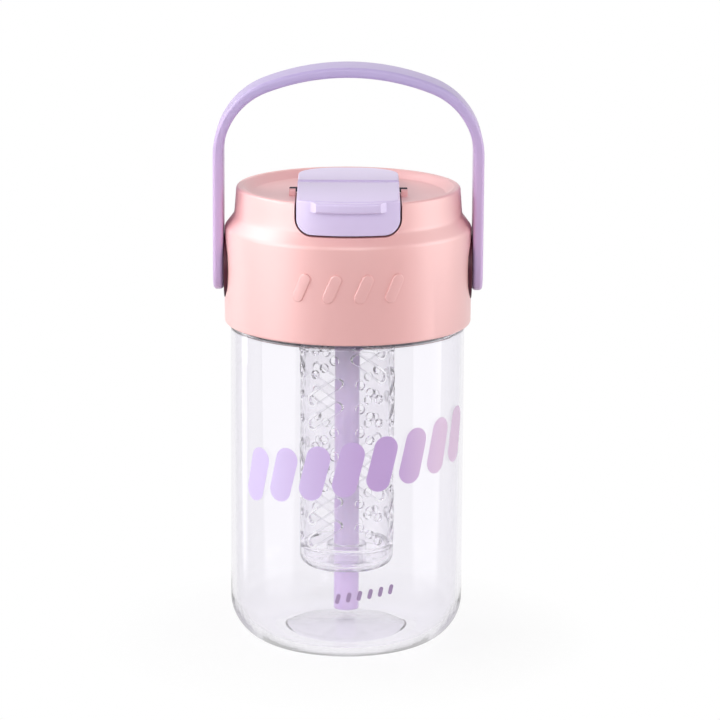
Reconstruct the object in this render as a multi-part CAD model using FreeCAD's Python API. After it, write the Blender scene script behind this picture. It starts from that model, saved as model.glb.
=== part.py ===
"""Fruit infuser water bottle: clear bottle, screw lid with flip flap and carrying handle,
straw, and a perforated infuser that hangs from the lid. Millimetres, +Z up, front at -Y.
The origin is the centre of the foot, on the surface that the bottle stands on."""

import FreeCAD
import Part
import math
import os
from FreeCAD import Placement, Rotation, Vector

# Bottle
BODY_RADIUS = 47.8
BODY_WALL = 2.2
HEEL_RADIUS = 18.0
FLOOR_THICKNESS = 3.0
FOOT_WIDTH = 4.8
FOOT_ROUND = 0.6
FLOOR_ROUND = 4.0
PUNT_HEIGHT = 1.0
PUNT_CROWN = 5.0
PUNT_DRAFT = 0.8
SHOULDER_Z = 139.5
SHOULDER_ROUND = 3.0
NECK_STEP = 6.0
NECK_WALL = 2.2
LIP_ROUND = 0.8

# Lid shell
LID_HEIGHT = 56.0
LID_OVERLAP = 6.0
LID_CLEARANCE = 0.4
SHELL_WALL = 2.0
LID_FOOT_ROUND = 1.1
LID_INNER_ROUND = 0.4
RIM_INSET = 3.9
RIM_DRAFT = 0.9
RIM_NECK_HEIGHT = 11.4
SHOULDER_SLOPE = 5.2
SHOULDER_BLEND = 3.5
RIM_WIDTH = 2.6
RIM_ROUND = 1.2
DISH_DEPTH = 3.0
DISH_SLOPE = 3.4
DECK_THICKNESS = 2.2
RIB_COUNT = 8
RIB_THICKNESS = 1.6

# Lid liner, gasket and the cavity under the deck
LINER_CLEARANCE = 1.4
LINER_WALL = 2.0
LINER_PLATE = 2.2
LINER_FOOT_GAP = 1.2
GASKET_THICKNESS = 2.0
GASKET_OVERHANG = 0.6
GASKET_ROUND = 0.4
FIT_GAP = 0.1
MOTION_GAP = 0.3

# Flap, its hinge and the well that it closes
FLAP_WIDTH = 41.0
FLAP_WALL = 2.2
FLAP_GAP = 0.8
FLAP_PROUD = 0.6
FLAP_DROP = 12.2
FLAP_CORNER = 6.0
FLAP_EDGE_ROUND = 1.0
FLAP_SIDE_DEPTH = 3.2
FLAP_TILT_DROP = 1.0
FLAP_FLANGE_ROUND = 2.0
LIP_LENGTH = 30.0
LIP_REACH = 3.0
LIP_HEIGHT = 4.0
LIP_END_TAPER = 0.6
WELL_WALL = 2.0
HINGE_Y = -6.0
HINGE_DROP = 0.8
HINGE_REAR_GAP = 1.5
KNUCKLE_RADIUS = 3.0
KNUCKLE_LENGTH = 5.0
PIN_RADIUS = 1.0
PIN_CLEARANCE = 0.05
EAR_THICKNESS = 2.6
EAR_LENGTH = 4.6
FLAP_OPEN_ANGLE = 120.0
SWEEP_GAP = 0.4
COVER_INSET = 3.6
COVER_REAR_HEIGHT = 4.2
COVER_NOSE_ROUND = 17.0
COVER_EDGE_ROUND = 0.8
PEG_RADIUS = 2.0
PEG_SPACING = 20.0
PEG_DEPTH = 3.6

# Mouthpiece, spout duct and vent
SPOUT_INSET = 15.4
MOUTHPIECE_BORE = 3.4
MOUTHPIECE_TIP_RADIUS = 5.6
MOUTHPIECE_BASE_RADIUS = 6.8
MOUTHPIECE_FLANGE_RADIUS = 8.6
MOUTHPIECE_FLANGE = 1.6
MOUTHPIECE_SPIGOT = 5.0
SEAL_PAD_RADIUS = 7.0
SEAL_PAD_THICKNESS = 2.4
SEAL_PLUG_RADIUS = 2.4
SEAL_PLUG_LENGTH = 1.8
SEAL_GAP = 0.3
SOFT_ROUND = 0.6
DUCT_HEIGHT = 8.3
DUCT_HALF_WIDTH = 7.5
DUCT_WALL = 2.0
STEM_LENGTH = 16.0
STEM_WALL = 1.1
ORING_SECTION = 0.7
VENT_STEM = 1.2
VENT_BEAD = 0.8
VENT_CAP = 3.0
VENT_CAP_THICKNESS = 1.2

# Straw and infuser
STRAW_RADIUS = 5.1
STRAW_WALL = 1.0
STRAW_FLOOR_GAP = 2.6
STRAW_END_ROUND = 0.3
INFUSER_RADIUS = 19.2
INFUSER_WALL = 1.6
INFUSER_BOTTOM_Z = 31.0
COLLAR_WALL = 2.2
COLLAR_HEIGHT = 12.0
COLLAR_GRIP = 3.0
COLLAR_GRIP_REACH = 2.4
COLLAR_ROUND = 0.5
SOCKET_WALL = 2.0
INFUSER_SEAL = 2.0
BASE_HEIGHT = 8.5
BASE_ROUND = 4.5
BASE_WALL = 1.5
BASE_FLOOR = 1.8
BASE_GUIDE = 9.0
BASE_EDGE_ROUND = 0.4
BASE_HOLE_RADIUS = 1.6
BASE_HOLE_COUNT = 10
GROMMET_WALL = 1.4
GROMMET_FLANGE = 1.4
SLOT_LENGTH = 18.0
SLOT_WIDTH = 4.0
SLANT = 36.0
DOT_RADIUS = 1.85
DOT_SPACING = 5.6
DOTS_PER_ROW = 3
ROW_COUNT = 10
ROW_CYCLE = 5
SLOT_ROWS = 2
LOW_MARGIN = 8.0
TOP_MARGIN = 9.5
ARM_COUNT = 6
ARM_TURN = -30.0

# Handle and its pivots
PIVOT_RISE = 0.3
HANDLE_WIDTH = 20.0
HANDLE_THICKNESS = 4.2
HANDLE_GAP = 0.3
HANDLE_SPRING = 13.2
HANDLE_RISE = 36.0
HANDLE_CORNER_SHARE = 0.88
HANDLE_EDGE_ROUND = 1.5
PAD_MARGIN = 0.4
PAD_DEPTH = 1.6
BOSS_RADIUS = 8.0
BOSS_GAP = 0.35
BOSS_WALL = 3.0
STUD_RADIUS = 3.5
STUD_CLEARANCE = 0.08
BARB_REACH = 0.6
BARB_LENGTH = 1.1
STUD_SLIT = 1.2

# Grip pills on the front of the lid
PILL_COUNT = 4
PILL_LENGTH = 12.2
PILL_WIDTH = 4.6
PILL_SLANT = 24.0
PILL_PITCH = 12.5
PILL_PROUD = 0.7
PILL_EDGE_ROUND = 0.45

# Levels and radii that follow from the sizes above
OVERSIZE = 10.0
NUDGE = 1.0
END_FLAT = 0.01
LID_RADIUS = BODY_RADIUS + LID_CLEARANCE + SHELL_WALL
RIM_BASE_RADIUS = LID_RADIUS - RIM_INSET
RIM_RADIUS = RIM_BASE_RADIUS - RIM_DRAFT
DISH_RADIUS = RIM_RADIUS - RIM_WIDTH - DISH_SLOPE
NECK_RADIUS = BODY_RADIUS - NECK_STEP
PUNT_RADIUS = BODY_RADIUS - HEEL_RADIUS - FOOT_WIDTH - PUNT_DRAFT
LID_BOTTOM_Z = SHOULDER_Z - LID_OVERLAP
RIM_Z = LID_BOTTOM_Z + LID_HEIGHT
DECK_Z = RIM_Z - DISH_DEPTH
WELL_Z = RIM_Z - FLAP_DROP - FLAP_GAP
WELL_UNDER_Z = WELL_Z - WELL_WALL
PLATE_TOP_Z = WELL_UNDER_Z - DUCT_HEIGHT
PLATE_Z = PLATE_TOP_Z - LINER_PLATE
MOUTH_Z = PLATE_Z - GASKET_THICKNESS
HINGE_Z = RIM_Z - HINGE_DROP
SKIRT_HEIGHT = LID_HEIGHT - LID_OVERLAP - RIM_NECK_HEIGHT - SHOULDER_SLOPE
PIVOT_Z = SHOULDER_Z + SKIRT_HEIGHT / 2 + PIVOT_RISE
PAD_RADIUS = SKIRT_HEIGHT / 2 - PIVOT_RISE - PAD_MARGIN - SHELL_WALL
SHELL_INNER = LID_RADIUS - SHELL_WALL
NECK_INNER = NECK_RADIUS - NECK_WALL
GASKET_INNER = NECK_INNER - GASKET_OVERHANG
LINER_INNER = NECK_RADIUS + LINER_CLEARANCE
LINER_OUTER = LINER_INNER + LINER_WALL
SPOUT_Y = SPOUT_INSET - RIM_RADIUS
POCKET_HALF = FLAP_WIDTH / 2 + FLAP_GAP
POCKET_REAR_Y = HINGE_Y + KNUCKLE_RADIUS + HINGE_REAR_GAP
COVER_REAR_Y = DISH_RADIUS - COVER_INSET
FLAP_TOP_Z = HINGE_Z + KNUCKLE_RADIUS
FLAP_FRONT_RADIUS = RIM_BASE_RADIUS + FLAP_PROUD
STRAW_BORE = STRAW_RADIUS - STRAW_WALL
STEM_RADIUS = STRAW_BORE - FIT_GAP / 2
FLOOR_TOP_Z = PUNT_HEIGHT + PUNT_CROWN + FLOOR_THICKNESS
COLLAR_OUTER = INFUSER_RADIUS + COLLAR_WALL
COLLAR_TOP_Z = PLATE_Z - INFUSER_SEAL
COLLAR_BOTTOM_Z = COLLAR_TOP_Z - COLLAR_HEIGHT
COLLAR_GRIP_Z = COLLAR_BOTTOM_Z - COLLAR_GRIP
SOCKET_INNER = COLLAR_OUTER + MOTION_GAP
SOCKET_OUTER = SOCKET_INNER + SOCKET_WALL
VENT_ROOM = GASKET_INNER - SOCKET_OUTER
VENT_Y = SOCKET_OUTER + VENT_ROOM / 2
BASE_TOP_Z = INFUSER_BOTTOM_Z + BASE_HEIGHT
GROMMET_BORE = STRAW_RADIUS + MOTION_GAP
GROMMET_RADIUS = GROMMET_BORE + GROMMET_WALL
HANDLE_INNER = LID_RADIUS + HANDLE_GAP
HANDLE_OUTER = HANDLE_INNER + HANDLE_THICKNESS
PAD_X = LID_RADIUS - PAD_DEPTH
BOSS_X = HANDLE_INNER - BOSS_GAP
BOSS_INNER_X = BOSS_X - BOSS_WALL


def along_xz(u, v):
    """Places an outline in the XZ plane."""
    return Vector(u, 0, v)


def along_yz(u, v):
    """Places an outline in the YZ plane."""
    return Vector(0, u, v)


def along_xy(u, v):
    """Places an outline in the XY plane."""
    return Vector(u, v, 0)


def outline(corners, place=along_xz):
    """A closed face from corners (u, v) or (u, v, radius), each rounded by a tangent arc of its radius."""
    points = [Vector(c[0], c[1], 0) for c in corners]
    radii = [c[2] if len(c) > 2 else 0.0 for c in corners]
    ends = []
    for i, point in enumerate(points):
        to_last = (points[i - 1] - point).normalize()
        to_next = (points[(i + 1) % len(points)] - point).normalize()
        half = to_last.getAngle(to_next) / 2
        if radii[i] > 0:
            reach = radii[i] / math.tan(half)
            middle = (to_last + to_next).normalize() * (radii[i] / math.sin(half) - radii[i])
            ends.append((point + to_last * reach, point + middle, point + to_next * reach))
        else:
            ends.append((point, None, point))
    edges = []
    for i, (start, middle, end) in enumerate(ends):
        if middle is not None:
            arc = Part.Arc(place(start.x, start.y), place(middle.x, middle.y), place(end.x, end.y))
            edges.append(arc.toShape())
        following = ends[(i + 1) % len(ends)][0]
        if end.distanceToPoint(following) > 1e-7:
            edges.append(Part.LineSegment(place(end.x, end.y), place(following.x, following.y)).toShape())
    return Part.Face(Part.Wire(edges))


def turned(corners, x=0.0, y=0.0):
    """A solid of revolution about a vertical axis through (x, y)."""
    solid = outline(corners).revolve(Vector(0, 0, 0), Vector(0, 0, 1), 360)
    solid.translate(Vector(x, y, 0))
    return solid


def turned_about_x(corners):
    """A solid of revolution about the X axis, from corners (x, radius)."""
    return outline(corners, along_xy).revolve(Vector(0, 0, 0), Vector(1, 0, 0), 360)


def ring(inner, outer, low, high, rounding=0.0):
    """A plain ring between two radii and two heights."""
    return turned([(inner, low, rounding), (outer, low, rounding),
                   (outer, high, rounding), (inner, high, rounding)])


def rod(radius, low, high, x=0.0, y=0.0):
    """An upright cylinder."""
    return Part.makeCylinder(radius, high - low, Vector(x, y, low))


def rod_x(radius, left, right, y, z):
    """A cylinder along X."""
    return Part.makeCylinder(radius, right - left, Vector(left, y, z), Vector(1, 0, 0))


def block(x0, x1, y0, y1, z0, z1):
    """A box between two corners."""
    return Part.makeBox(x1 - x0, y1 - y0, z1 - z0, Vector(x0, y0, z0))


def pill(length, width, low, high):
    """An upright prism whose plan is a pill along X, centred on the axis."""
    straight = (length - width) / 2
    left = Part.Arc(Vector(-straight, width / 2, low), Vector(-length / 2, 0, low),
                    Vector(-straight, -width / 2, low))
    right = Part.Arc(Vector(straight, -width / 2, low), Vector(length / 2, 0, low),
                     Vector(straight, width / 2, low))
    bottom = Part.LineSegment(Vector(-straight, -width / 2, low), Vector(straight, -width / 2, low))
    top = Part.LineSegment(Vector(straight, width / 2, low), Vector(-straight, width / 2, low))
    wire = Part.Wire([left.toShape(), bottom.toShape(), right.toShape(), top.toShape()])
    return Part.Face(wire).extrude(Vector(0, 0, high - low))


def radial_pill(length, width, slant, near, far, azimuth, height):
    """A pill-shaped prism that points outwards at an azimuth from the front, with its long axis slanted."""
    prism = pill(length, width, near, far)
    prism.Placement = Placement(Vector(0, 0, 0), Rotation(Vector(0, 0, 1), slant))
    prism = prism.copy()
    stand = Placement(Vector(0, 0, height), Rotation(Vector(1, 0, 0), 90))
    turn = Placement(Vector(0, 0, 0), Rotation(Vector(0, 0, 1), azimuth))
    prism.Placement = turn.multiply(stand).multiply(prism.Placement)
    return prism


def mirrored(shape):
    """A shape and its copy on the other side of the YZ plane."""
    return [shape, shape.mirror(Vector(0, 0, 0), Vector(1, 0, 0))]


def bottle():
    """The clear bottle: flat foot ring round a punt, large heel, straight wall and a plain neck."""
    body_inner = BODY_RADIUS - BODY_WALL
    step_in = body_inner - NECK_INNER
    inner_shoulder_z = SHOULDER_Z - BODY_WALL
    floor_edge = PUNT_RADIUS + FLOOR_THICKNESS
    return turned([
        (0, PUNT_HEIGHT + PUNT_CROWN),
        (PUNT_RADIUS, PUNT_HEIGHT, FOOT_ROUND),
        (PUNT_RADIUS + PUNT_DRAFT, 0, FOOT_ROUND),
        (BODY_RADIUS, 0, HEEL_RADIUS),
        (BODY_RADIUS, SHOULDER_Z, SHOULDER_ROUND),
        (NECK_RADIUS, SHOULDER_Z, LIP_ROUND),
        (NECK_RADIUS, MOUTH_Z, LIP_ROUND),
        (NECK_INNER, MOUTH_Z, LIP_ROUND),
        (NECK_INNER, inner_shoulder_z, SHOULDER_ROUND),
        (body_inner, inner_shoulder_z - step_in, SHOULDER_ROUND),
        (body_inner, FLOOR_THICKNESS, HEEL_RADIUS - BODY_WALL),
        (floor_edge, FLOOR_THICKNESS, FLOOR_ROUND),
        (PUNT_RADIUS, PUNT_HEIGHT + FLOOR_THICKNESS, FLOOR_ROUND),
        (0, FLOOR_TOP_Z),
    ])


def shell_of_lid():
    """The lid's outer skin: straight skirt, sloped shoulder, narrow top and a dished deck."""
    crest_z = RIM_Z - RIM_NECK_HEIGHT - SHOULDER_SLOPE
    neck_base_z = RIM_Z - RIM_NECK_HEIGHT
    inner_drop = SHELL_WALL / 2
    deck_under = DECK_Z - DECK_THICKNESS
    return turned([
        (SHELL_INNER, LID_BOTTOM_Z, LID_INNER_ROUND),
        (LID_RADIUS, LID_BOTTOM_Z, LID_FOOT_ROUND),
        (LID_RADIUS, crest_z, SHOULDER_BLEND),
        (RIM_BASE_RADIUS, neck_base_z, SHOULDER_BLEND),
        (RIM_RADIUS, RIM_Z, RIM_ROUND),
        (RIM_RADIUS - RIM_WIDTH, RIM_Z, RIM_ROUND),
        (DISH_RADIUS, DECK_Z, RIM_ROUND),
        (0, DECK_Z),
        (0, deck_under),
        (RIM_RADIUS - SHELL_WALL, deck_under, RIM_ROUND),
        (RIM_BASE_RADIUS - SHELL_WALL, neck_base_z - inner_drop, SHOULDER_BLEND),
        (SHELL_INNER, crest_z - inner_drop, SHOULDER_BLEND),
    ])


def inner_ribs():
    """Upright ribs between the shell and the liner, which the liner is pressed between."""
    rib_low = SHOULDER_Z + LINER_FOOT_GAP
    rib = block(LINER_OUTER + FIT_GAP / 2, SHELL_INNER + SHELL_WALL / 2,
                -RIB_THICKNESS / 2, RIB_THICKNESS / 2, rib_low, PLATE_TOP_Z)
    ribs = []
    for i in range(RIB_COUNT):
        copy = rib.copy()
        copy.rotate(Vector(0, 0, 0), Vector(0, 0, 1), (i + 0.5) * 360 / RIB_COUNT)
        ribs.append(copy)
    return ribs


def well_tray():
    """The sunk tray behind the front of the lid, which holds the mouthpiece."""
    tray = block(-POCKET_HALF - WELL_WALL, POCKET_HALF + WELL_WALL, -RIM_BASE_RADIUS - OVERSIZE,
                 POCKET_REAR_Y + WELL_WALL, WELL_UNDER_Z, DECK_Z)
    return tray.common(rod(RIM_BASE_RADIUS - SHELL_WALL / 2, WELL_UNDER_Z, DECK_Z))


def well_pocket():
    """The room for the flap: open at the top and at the front, with round lower corners."""
    corner = FLAP_CORNER + FLAP_GAP
    face = outline([
        (-POCKET_HALF, WELL_Z, corner), (POCKET_HALF, WELL_Z, corner),
        (POCKET_HALF, RIM_Z + OVERSIZE), (-POCKET_HALF, RIM_Z + OVERSIZE),
    ])
    face.translate(Vector(0, POCKET_REAR_Y, 0))
    return face.extrude(Vector(0, -LID_RADIUS - OVERSIZE, 0))


def hinge_ear(side):
    """A raised ear beside the flap, slotted from above for the end of the pin."""
    inner = POCKET_HALF
    outer = POCKET_HALF + EAR_THICKNESS
    top = HINGE_Z + PIN_RADIUS / 2
    corner = EAR_LENGTH / 6
    face = outline([
        (HINGE_Y - EAR_LENGTH / 2, DECK_Z - DECK_THICKNESS),
        (HINGE_Y + EAR_LENGTH / 2, DECK_Z - DECK_THICKNESS),
        (HINGE_Y + EAR_LENGTH / 2, top, corner),
        (HINGE_Y - EAR_LENGTH / 2, top, corner),
    ], along_yz)
    face.translate(Vector(inner, 0, 0))
    ear = face.extrude(Vector(outer - inner, 0, 0))
    slot_half = PIN_RADIUS + PIN_CLEARANCE / 2
    near = inner - NUDGE
    far = outer + NUDGE
    slot = block(near, far, HINGE_Y - slot_half, HINGE_Y + slot_half, HINGE_Z, RIM_Z + OVERSIZE)
    seat = rod_x(slot_half, near, far, HINGE_Y, HINGE_Z)
    ear = ear.cut(slot.fuse(seat))
    return ear if side > 0 else ear.mirror(Vector(0, 0, 0), Vector(1, 0, 0))


def pivot_pad(side):
    """What is added and what is cut where the handle's stud goes through the side of the lid."""
    added = rod_x(PAD_RADIUS + SHELL_WALL, BOSS_INNER_X, LID_RADIUS, 0, PIVOT_Z)
    added = added.common(rod(LID_RADIUS, LID_BOTTOM_Z, RIM_Z))
    hollow = rod_x(PAD_RADIUS, PAD_X, LID_RADIUS + OVERSIZE, 0, PIVOT_Z)
    boss = rod_x(BOSS_RADIUS, PAD_X - SHELL_WALL / 2, BOSS_X, 0, PIVOT_Z)
    bore = rod_x(STUD_RADIUS + STUD_CLEARANCE, 0, LID_RADIUS + OVERSIZE, 0, PIVOT_Z)
    bore = bore.cut(rod(LINER_OUTER, LID_BOTTOM_Z, RIM_Z))
    shapes = [added, hollow, boss, bore]
    if side < 0:
        shapes = [s.mirror(Vector(0, 0, 0), Vector(1, 0, 0)) for s in shapes]
    return shapes


def grip_pills():
    """Slanted pills that stand a little proud of the front of the lid."""
    step = math.degrees(PILL_PITCH / LID_RADIUS)
    skin = ring(LID_RADIUS - SHELL_WALL / 2, LID_RADIUS + PILL_PROUD, LID_BOTTOM_Z, RIM_Z)
    pills = []
    for i in range(PILL_COUNT):
        azimuth = (i - (PILL_COUNT - 1) / 2) * step
        prism = radial_pill(PILL_LENGTH, PILL_WIDTH, 90 - PILL_SLANT, LID_RADIUS - SHELL_WALL,
                            LID_RADIUS + OVERSIZE, azimuth, PIVOT_Z)
        raised = prism.common(skin)
        face = max(raised.Faces, key=lambda f: math.hypot(f.CenterOfMass.x, f.CenterOfMass.y))
        pills.append(raised.makeFillet(PILL_EDGE_ROUND, face.Edges))
    return pills


def cover_peg_places():
    """Where the hinge cover's pegs go through the deck."""
    y = (HINGE_Y + COVER_REAR_Y) / 2
    return [(-PEG_SPACING / 2, y), (PEG_SPACING / 2, y)]


def lid_shell():
    """The lid's moulded outer shell, with its well, hinge ears, handle pivots and grip pills."""
    solid = shell_of_lid()
    solid = solid.fuse(inner_ribs() + [well_tray()])
    pads = [pivot_pad(1), pivot_pad(-1)]
    solid = solid.fuse([p[0] for p in pads])
    solid = solid.cut([p[1] for p in pads])
    solid = solid.fuse([p[2] for p in pads])
    solid = solid.cut([p[3] for p in pads] + [well_pocket()])
    solid = solid.fuse([hinge_ear(1), hinge_ear(-1)])
    solid = solid.fuse(grip_pills())
    spigot_hole = rod(MOUTHPIECE_SPIGOT + FIT_GAP / 2, WELL_UNDER_Z - NUDGE, WELL_Z + NUDGE, 0, SPOUT_Y)
    peg_holes = [rod(PEG_RADIUS + FIT_GAP / 2, DECK_Z - OVERSIZE, DECK_Z + NUDGE, x, y)
                 for x, y in cover_peg_places()]
    return solid.cut([spigot_hole] + peg_holes).removeSplitter()


def lid_liner():
    """The inner cap that screws on the neck: plate, skirt, and the socket that the infuser hangs in."""
    plate = rod(LINER_OUTER, PLATE_Z, PLATE_TOP_Z)
    skirt = ring(LINER_INNER, LINER_OUTER, SHOULDER_Z + LINER_FOOT_GAP, PLATE_TOP_Z)
    socket = ring(SOCKET_INNER, SOCKET_OUTER, COLLAR_BOTTOM_Z, PLATE_Z + NUDGE)
    solid = plate.fuse([skirt, socket])
    stem_hole = rod(STEM_RADIUS + FIT_GAP / 2, PLATE_Z - NUDGE, PLATE_TOP_Z + NUDGE)
    oring_room = rod(STEM_RADIUS + 2 * ORING_SECTION + 2 * FIT_GAP,
                     PLATE_TOP_Z - 2 * ORING_SECTION, PLATE_TOP_Z + NUDGE)
    vent_hole = rod(VENT_STEM + FIT_GAP / 2, PLATE_Z - NUDGE, PLATE_TOP_Z + NUDGE, 0, VENT_Y)
    return solid.cut([stem_hole, oring_room, vent_hole]).removeSplitter()


def lid_gasket():
    """The flat silicone ring between the bottle's mouth and the liner's plate."""
    return ring(GASKET_INNER, NECK_RADIUS + GASKET_OVERHANG, MOUTH_Z, PLATE_Z, GASKET_ROUND)


def flap_profile():
    """The flap seen from the side: panel, deep front skirt, and shallow side flanges."""
    front = -FLAP_FRONT_RADIUS - OVERSIZE
    skirt_rear = -FLAP_FRONT_RADIUS + OVERSIZE
    face = outline([
        (HINGE_Y, FLAP_TOP_Z),
        (front, FLAP_TOP_Z - FLAP_TILT_DROP),
        (front, RIM_Z - FLAP_DROP),
        (skirt_rear, RIM_Z - FLAP_DROP),
        (skirt_rear + FLAP_DROP / 2, HINGE_Z - FLAP_SIDE_DEPTH, FLAP_FLANGE_ROUND),
        (HINGE_Y, HINGE_Z - KNUCKLE_RADIUS),
    ], along_yz)
    face.translate(Vector(-FLAP_WIDTH / 2, 0, 0))
    return face.extrude(Vector(FLAP_WIDTH, 0, 0))


def lip_plan(low, high):
    """The thumb lip seen from above: its ends slope inwards from the skirt to the tip."""
    half = LIP_LENGTH / 2
    root = math.sqrt(FLAP_FRONT_RADIUS ** 2 - half ** 2)
    tip = FLAP_FRONT_RADIUS + LIP_REACH + NUDGE
    tip_half = half - (tip - root) * LIP_END_TAPER
    plan = outline([
        (-half, 0), (half, 0), (half, -root), (tip_half, -tip), (-tip_half, -tip), (-half, -root),
    ], along_xy)
    plan.translate(Vector(0, 0, low))
    return plan.extrude(Vector(0, 0, high - low))


def flap():
    """The flip flap: crowned panel, curved skirt, thumb lip and two hinge knuckles."""
    half = FLAP_WIDTH / 2
    low = RIM_Z - FLAP_DROP
    high = RIM_Z + OVERSIZE
    front_view = outline([
        (-half, low, FLAP_CORNER), (half, low, FLAP_CORNER), (half, high), (-half, high),
    ])
    front_view.translate(Vector(0, HINGE_Y, 0))
    solid = front_view.extrude(Vector(0, -LID_RADIUS, 0))
    solid = solid.common(flap_profile())
    solid = solid.common(rod(FLAP_FRONT_RADIUS, low - NUDGE, high))
    skirt_z = RIM_Z - FLAP_DROP / 2
    boxes = [(e, e.BoundBox) for e in solid.Edges]
    rounded = [e for e, b in boxes if b.YMax < HINGE_Y - NUDGE and b.ZMin > skirt_z]
    rounded += [e for e, b in boxes
                if b.YMax > HINGE_Y - NUDGE and b.YMin < HINGE_Y - OVERSIZE and b.ZMin > RIM_Z]
    solid = solid.makeFillet(FLAP_EDGE_ROUND, rounded)

    inner = FLAP_FRONT_RADIUS - FLAP_WALL
    panel_under = FLAP_TOP_Z - FLAP_TILT_DROP - FLAP_WALL
    hollow = block(-half + FLAP_WALL, half - FLAP_WALL, -LID_RADIUS,
                   HINGE_Y - KNUCKLE_RADIUS - FLAP_WALL, low - NUDGE, panel_under)
    hollow = hollow.fuse(block(-half - NUDGE, half + NUDGE, -LID_RADIUS, HINGE_Y - KNUCKLE_RADIUS - FLAP_WALL,
                               low - NUDGE, HINGE_Z - FLAP_SIDE_DEPTH))
    solid = solid.cut(hollow.common(rod(inner, low - OVERSIZE, high)))

    lip_low = RIM_Z + FLAP_WALL / 2 - LIP_HEIGHT
    lip = ring(inner, FLAP_FRONT_RADIUS + LIP_REACH, lip_low, RIM_Z + FLAP_WALL / 2, FLAP_EDGE_ROUND)
    lip = lip.common(lip_plan(low, high))
    solid = solid.fuse(lip)

    knuckles = mirrored(rod_x(KNUCKLE_RADIUS, half - KNUCKLE_LENGTH, half, HINGE_Y, HINGE_Z))
    middle = half - KNUCKLE_LENGTH + FIT_GAP
    relief = rod_x(KNUCKLE_RADIUS + SWEEP_GAP, -middle, middle, HINGE_Y, HINGE_Z)
    bore = rod_x(PIN_RADIUS + PIN_CLEARANCE, -half - NUDGE, half + NUDGE, HINGE_Y, HINGE_Z)
    return solid.fuse(knuckles).cut([relief, bore]).removeSplitter()


def flap_seal():
    """The silicone pad under the flap that plugs the mouthpiece."""
    top = FLAP_TOP_Z - FLAP_TILT_DROP - FLAP_WALL
    pad_low = top - SEAL_PAD_THICKNESS
    return turned([
        (0, top), (0, pad_low - SEAL_PLUG_LENGTH),
        (SEAL_PLUG_RADIUS, pad_low - SEAL_PLUG_LENGTH, SOFT_ROUND),
        (SEAL_PLUG_RADIUS, pad_low, SOFT_ROUND / 2), (SEAL_PAD_RADIUS, pad_low, SOFT_ROUND),
        (SEAL_PAD_RADIUS, top),
    ], 0, SPOUT_Y)


def flap_hinge_pin():
    """The steel pin that the flap turns on, laid in the two ears."""
    end = POCKET_HALF + EAR_THICKNESS - FIT_GAP
    chamfer = PIN_RADIUS / 4
    pin = turned_about_x([
        (-end, 0), (-end, PIN_RADIUS - chamfer), (-end + chamfer, PIN_RADIUS),
        (end - chamfer, PIN_RADIUS), (end, PIN_RADIUS - chamfer), (end, 0),
    ])
    pin.translate(Vector(0, HINGE_Y, HINGE_Z))
    return pin


def hinge_cover():
    """The fixed tongue behind the flap: it holds the middle of the pin and stops the open flap."""
    half = FLAP_WIDTH / 2
    middle = half - KNUCKLE_LENGTH - FIT_GAP
    lean = math.radians(180 - FLAP_OPEN_ANGLE)
    stop = KNUCKLE_RADIUS + SWEEP_GAP
    foot_y = HINGE_Y + stop / math.sin(lean)
    crown_y = foot_y + KNUCKLE_RADIUS / math.tan(lean)
    rear_y = COVER_REAR_Y
    side = outline([
        (foot_y, HINGE_Z), (crown_y, FLAP_TOP_Z), (rear_y, DECK_Z + COVER_REAR_HEIGHT),
        (rear_y, DECK_Z), (foot_y, DECK_Z),
    ], along_yz)
    side.translate(Vector(-half, 0, 0))
    tongue = side.extrude(Vector(FLAP_WIDTH, 0, 0))
    plan = outline([
        (-half, HINGE_Y), (half, HINGE_Y), (half, rear_y, COVER_NOSE_ROUND), (-half, rear_y, COVER_NOSE_ROUND),
    ], along_xy)
    plan.translate(Vector(0, 0, DECK_Z))
    tongue = tongue.common(plan.extrude(Vector(0, 0, OVERSIZE)))
    top = max(tongue.Faces, key=lambda face: face.CenterOfMass.z)
    tongue = tongue.makeFillet(COVER_EDGE_ROUND, top.Edges)

    web = block(-middle, middle, HINGE_Y, foot_y + NUDGE, DECK_Z, HINGE_Z - PIN_RADIUS)
    knuckle = rod_x(KNUCKLE_RADIUS, -middle, middle, HINGE_Y, HINGE_Z)
    pegs = [rod(PEG_RADIUS, DECK_Z - PEG_DEPTH, DECK_Z + NUDGE, x, y) for x, y in cover_peg_places()]
    solid = tongue.fuse([web, knuckle] + pegs)
    bore = rod_x(PIN_RADIUS + PIN_CLEARANCE / 2, -half, half, HINGE_Y, HINGE_Z)
    return solid.cut(bore).removeSplitter()


def mouthpiece():
    """The soft drinking nozzle in the well, with a spigot through its floor."""
    tip_z = FLAP_TOP_Z - FLAP_TILT_DROP - FLAP_WALL - SEAL_PAD_THICKNESS - SEAL_GAP
    flange_z = WELL_Z + MOUTHPIECE_FLANGE
    return turned([
        (MOUTHPIECE_BORE, WELL_UNDER_Z), (MOUTHPIECE_SPIGOT, WELL_UNDER_Z),
        (MOUTHPIECE_SPIGOT, WELL_Z), (MOUTHPIECE_FLANGE_RADIUS, WELL_Z),
        (MOUTHPIECE_FLANGE_RADIUS, flange_z, SOFT_ROUND), (MOUTHPIECE_BASE_RADIUS, flange_z, SOFT_ROUND),
        (MOUTHPIECE_TIP_RADIUS, tip_z, SOFT_ROUND), (MOUTHPIECE_BORE, tip_z, SOFT_ROUND),
    ], 0, SPOUT_Y)


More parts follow.
